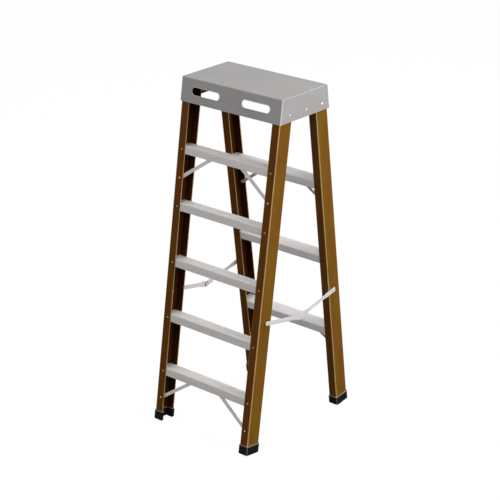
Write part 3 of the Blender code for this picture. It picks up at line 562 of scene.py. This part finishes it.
def grey_coat(name):
    """Satin powder coat: dielectric, faint orange peel, a painted highlight on the folds, and painted shade
    on its inner faces.
    """
    material, add, shader = new_material(name, 0.42, 0.0)
    clouds, place = stretched_noise(add, (FRONT_LEAN, 0, 0), COAT_CLOUDS, 2.0)
    peel, _ = stretched_noise(add, (0, 0, 0), ORANGE_PEEL, 2.0)
    corner, _, _ = corner_highlight_mask(add, place, cap_high.x, cap_front, CAP_REACH, FOLD_HIGHLIGHT)
    texture = add("TexCoord").node.outputs
    from_middle = add("VectorMath", texture["Object"], (cap_low + cap_high) / 2, operation="SUBTRACT")
    outwards = add("VectorMath", from_middle, texture["Normal"], operation="DOT_PRODUCT")
    outside = add("MapRange", outwards, -INSIDE_FADE, 0.0, **SMOOTH)
    cloudy = add("MapRange", clouds, *SPREAD, **SMOOTH)
    coat = add("Mix", cloudy, linear("#A9A7A6"), linear("#ADABAA"), **COLOUR)
    # The #F6F3F4 on the front folds is a painted highlight.
    coat = add("Mix", corner, coat, linear("#F6F3F4"), **COLOUR)
    # The inner faces are painted dark #3A3937: painted shade inside the cap.
    feed(shader, {"Base Color": add("Mix", outside, linear("#3A3937"), coat, **COLOUR),
                  "Roughness": add("MapRange", clouds, *SPREAD, 0.4, 0.46, **SMOOTH),
                  "Normal": add("Bump", *COAT_RELIEF, None, peel)})
    return material


dressed("top_cap", grey_coat("light grey satin coat"), FOLDED_EDGE)

SLOT_LENGTH = 0.186
SLOT_HEIGHT = 0.043
SLOT_END_ROOM = 0.018
SLOT_DROP = 0.064
SLOT_MIDDLE = RAIL_OUTSIDE - FLANGE_WIDTH - SLOT_END_ROOM - SLOT_LENGTH / 2
LIP_RADIUS = 0.0019
LIP_RISE = 0.0006
LIP_SIDES = 32
LIP_SMOOTH_ANGLE = math.radians(60)
RUBS = (0.004, 0.004, 0.004)

# Pale sheet: the rolled lip catches the lamps as a thin bright line round each slot, and its colour, paler
# than the coat, is a painted highlight.
lip_highlight_sheet, add, shader = new_material("pale sheet on the slot lips, painted highlight", 0.35, 0.6)
rubs, _ = stretched_noise(add, (0, 0, 0), RUBS, 3.0)
rubbed = add("MapRange", rubs, *MARKED, **SMOOTH)
feed(shader, {"Base Color": add("Mix", rubbed, linear("#EFEDEB"), linear("#CFCDCB"), **COLOUR)})

skirt_turn = Matrix.Rotation(-FRONT_LEAN, 4, "X") @ Matrix.Rotation(math.radians(-90), 4, "X")
top_front = Vector((0, cap_front / math.cos(FRONT_LEAN) + cap_high.z * math.tan(FRONT_LEAN), cap_high.z))
for side, sign in SIDES:
    bpy.ops.object.select_all(action="DESELECT")
    bpy.ops.mesh.primitive_torus_add(major_radius=SLOT_HEIGHT / 2, minor_radius=LIP_RADIUS,
                                     major_segments=LIP_SIDES, minor_segments=10,
                                     rotation=(0, 0, math.pi / LIP_SIDES))
    lip = bpy.context.object
    lip.name = f"slot_lip_{side}"
    bpy.ops.object.transform_apply(location=True, rotation=True, scale=True)
    for way in (-1, 1):
        bpy.ops.object.mode_set(mode="EDIT")
        bpy.ops.mesh.select_all(action="DESELECT")
        bpy.ops.object.mode_set(mode="OBJECT")
        for vertex in lip.data.vertices:
            vertex.select = vertex.co.x * way > 0
        bpy.ops.object.mode_set(mode="EDIT")
        bpy.ops.transform.translate(value=(way * (SLOT_LENGTH - SLOT_HEIGHT) / 2, 0, 0))
        bpy.ops.object.mode_set(mode="OBJECT")
    lip.data.materials.append(lip_highlight_sheet)
    bpy.ops.object.shade_smooth_by_angle(angle=LIP_SMOOTH_ANGLE)
    centre = top_front + skirt_turn @ Vector((sign * SLOT_MIDDLE, SLOT_DROP, LIP_RISE))
    lip.data.transform(Matrix.Translation(centre) @ skirt_turn)
    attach(lip, "front_frame")
for side, _ in SIDES:
    dressed(f"cap_bracket_{side}", brace_aluminium, PRESSED_EDGE)
    for cad in (f"cap_front_rivet_{side}", f"cap_middle_rivet_{side}", f"fold_pin_{side}"):
        dressed(cad, rivet_metal, HEAD_EDGE)

# ------------------------------------------------------------------ spreaders
# Two pairs of beaded aluminium links. Each turns on a shouldered pin in a rail
# and on the rivet at the knuckle; the grey disc about the knuckle on the rear link is painted shade.

knuckle_low, knuckle_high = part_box("knuckle_rivet_inner_left")
knuckle = ((knuckle_low + knuckle_high) / 2)[1:]
link_finishes = [pressed_aluminium(name, "#EAE4E4", "#FAF6F6", 0.36, 0.25, pivot)
                 for name, pivot in (("pressed aluminium link", None),
                                     ("pressed aluminium link, knuckle shade painted", knuckle))]
for side, _ in SIDES:
    for frame_name, finish in zip(("front", "rear"), link_finishes):
        dressed(f"spreader_{frame_name}_link_{side}", finish, DEBURRED_EDGE)
        dressed(f"spreader_{frame_name}_pin_{side}", rivet_metal, HEAD_EDGE)
    for half in ("outer", "inner"):
        dressed(f"knuckle_rivet_{half}_{side}", rivet_metal, HEAD_EDGE)

# ------------------------------------------------------------------ studio
# A plain pale floor, a soft key from the right, and weaker lights from the front
# and from behind. The backdrop is white to the eye and greyer to the pieces.

AIM = Vector((-0.0516, 0.0440, 0.9166))
CAMERA_AZIMUTH = 40.09
CAMERA_ELEVATION = 22.29
CAMERA_DISTANCE = 8.7457
CAMERA_LENS = 118.46
SENSOR_WIDTH = 36
FLOOR_SIZE = 60
FLOOR_GLOW = 0.94
FLOOR_CLOUDS = (3.0, 3.0, 3.0)
LIGHT_DISTANCE = 6.0
LIGHT_SIZE = 3.0
LIGHTS = (("key", 95, 25, 245), ("fill", 10, 45, 60), ("rim", 172, 30, 130))
HORIZON = (-0.3, 0.6)
SKY_STRENGTH = (0.1, 0.55)


def set_up(name, data, azimuth, elevation, distance):
    """Puts a lamp or camera round the ladder and aims it; azimuth 0 is in front, 90 to the right."""
    azimuth, elevation = math.radians(azimuth), math.radians(elevation)
    flat = math.cos(elevation)
    direction = Vector((math.sin(azimuth) * flat, -math.cos(azimuth) * flat, math.sin(elevation)))
    stand = bpy.data.objects.new(name, data)
    bpy.context.scene.collection.objects.link(stand)
    stand.location = AIM + direction * distance
    stand.rotation_euler = (AIM - stand.location).to_track_quat("-Z", "Y").to_euler()
    return stand


camera = set_up("camera", bpy.data.cameras.new("camera"), CAMERA_AZIMUTH, CAMERA_ELEVATION, CAMERA_DISTANCE)
camera.data.lens = CAMERA_LENS
camera.data.sensor_width = SENSOR_WIDTH
bpy.context.scene.camera = camera

for name, azimuth, elevation, power in LIGHTS:
    lamp = set_up(name, bpy.data.lights.new(name, "AREA"), azimuth, elevation, LIGHT_DISTANCE)
    lamp.data.size = LIGHT_SIZE
    lamp.data.energy = power

bpy.ops.object.select_all(action="DESELECT")
bpy.ops.mesh.primitive_plane_add(size=FLOOR_SIZE, location=(0, 0, 0))
floor = bpy.context.object
floor.name = "floor"
floor_paint, add, shader = new_material("pale studio floor", 0.9, 0.0)
floor_tone, _ = stretched_noise(add, (0, 0, 0), FLOOR_CLOUDS, 2.0)
feed(shader, {"Base Color": add("Mix", floor_tone, linear("#3A3A3A"), linear("#404040"), **COLOUR)})
shader.inputs["Emission Color"].default_value = (1, 1, 1, 1)
shader.inputs["Emission Strength"].default_value = FLOOR_GLOW
floor.visible_diffuse = False
floor.visible_glossy = False
floor.data.materials.append(floor_paint)

world = bpy.data.worlds.new("studio")
world.use_nodes = True
add = partial(add_node, world.node_tree)
upward = add("SeparateXYZ", add("TexCoord").node.outputs["Generated"]).node.outputs["Z"]
from_sky = add("MapRange", upward, *HORIZON, *SKY_STRENGTH, **SMOOTH)
seen = add("LightPath").node.outputs["Is Camera Ray"]
backdrop = world.node_tree.nodes["Background"]
backdrop.inputs["Color"].default_value = (1, 1, 1, 1)
feed(backdrop, {"Strength": add("Math", from_sky, seen, operation="MAXIMUM")})
bpy.context.scene.world = world
bpy.context.scene.view_settings.view_transform = "Standard"
